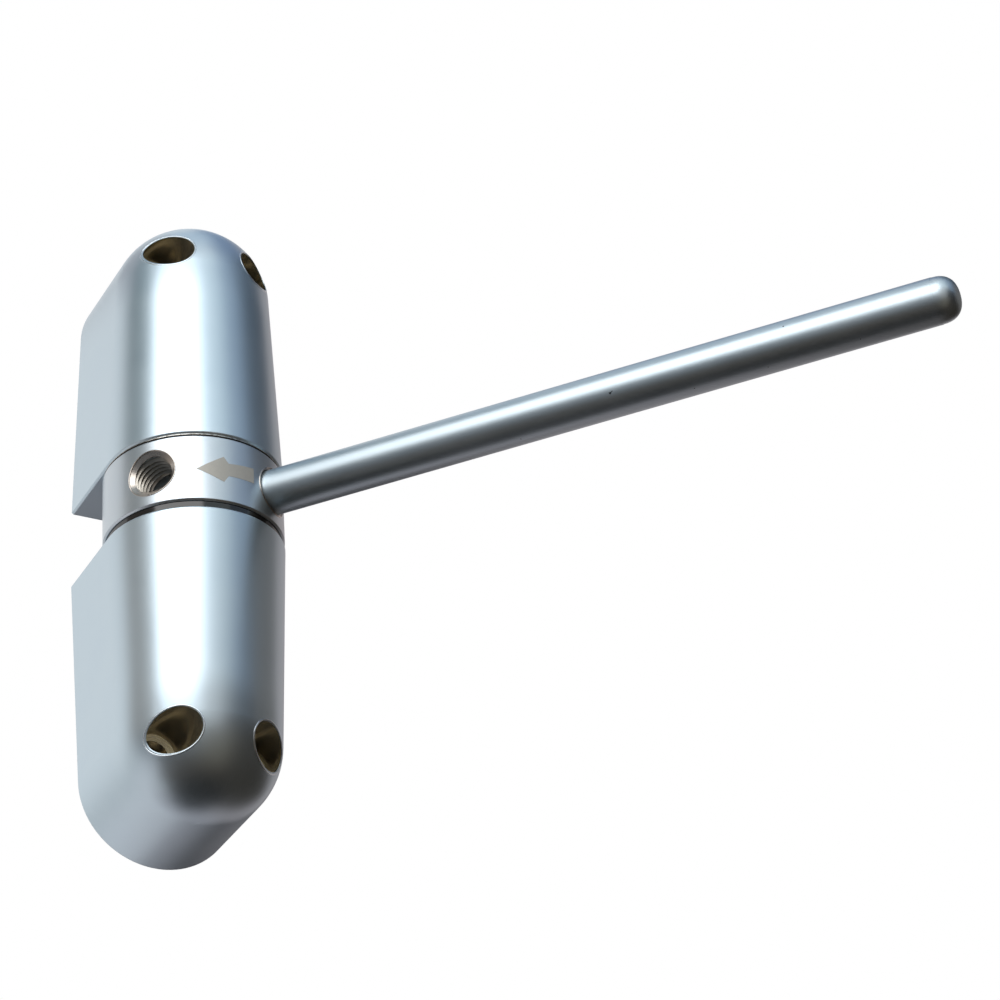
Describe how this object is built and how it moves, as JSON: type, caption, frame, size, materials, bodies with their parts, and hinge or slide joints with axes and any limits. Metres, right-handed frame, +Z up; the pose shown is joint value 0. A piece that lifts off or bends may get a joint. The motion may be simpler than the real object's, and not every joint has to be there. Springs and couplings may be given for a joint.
{
  "type": "surface-mounted door closer",
  "caption": "Surface-mounted spring door closer: rounded die-cast housings above and below a torsion-sprung collar, whose tapped holes take a screwed-in round pressure rod.",
  "frame": {"origin": "centre of the rectangle of frame screw holes, on the mounting plane", "axes": "+Y into the wall or door frame, -Y to the front, +Z up along the pivot axis, +X to the right seen from the front"},
  "size_m": [0.106, 0.1263, 0.1196],
  "materials": {
    "cast_zinc": "satin",
    "turned_collar": "satin",
    "plated_rod": "satin",
    "ground_steel": "satin",
    "spring_wire": "satin",
    "natural_nylon": "satin",
    "washer_steel": "satin",
    "black_nylon": "matte",
    "bush_bronze": "satin"
  },
  "bodies": {
    "fixed_body": {"upper_housing": "cast_zinc", "lower_housing": "cast_zinc", "axle": "ground_steel", "upper_spring": "spring_wire", "lower_spring": "spring_wire", "upper_spring_guide": "natural_nylon", "lower_spring_guide": "natural_nylon", "upper_thrust_washer": "washer_steel", "lower_thrust_washer": "black_nylon", "upper_axle_pin": "ground_steel", "lower_axle_pin": "ground_steel"},
    "hub": {"tension_collar": "turned_collar", "upper_bush": "bush_bronze", "lower_bush": "bush_bronze"},
    "rod": {"pressure_rod": "plated_rod"}
  },
  "joints": [
    {"name": "hub_turn", "type": "hinge", "parent": "fixed_body", "child": "hub", "pos_m": [0, -0.0178, 0.0004], "axis": [0, 0, 1], "range_deg": [-129.5, 50.5], "stiffness_Nm_per_rad": 2.2, "deforming": ["upper_spring", "lower_spring"]},
    {"name": "rod_unscrew", "type": "slide", "parent": "hub", "child": "rod", "axis": [0.6361, -0.7716, 0], "range_m": [0, 0.012]}
  ]
}
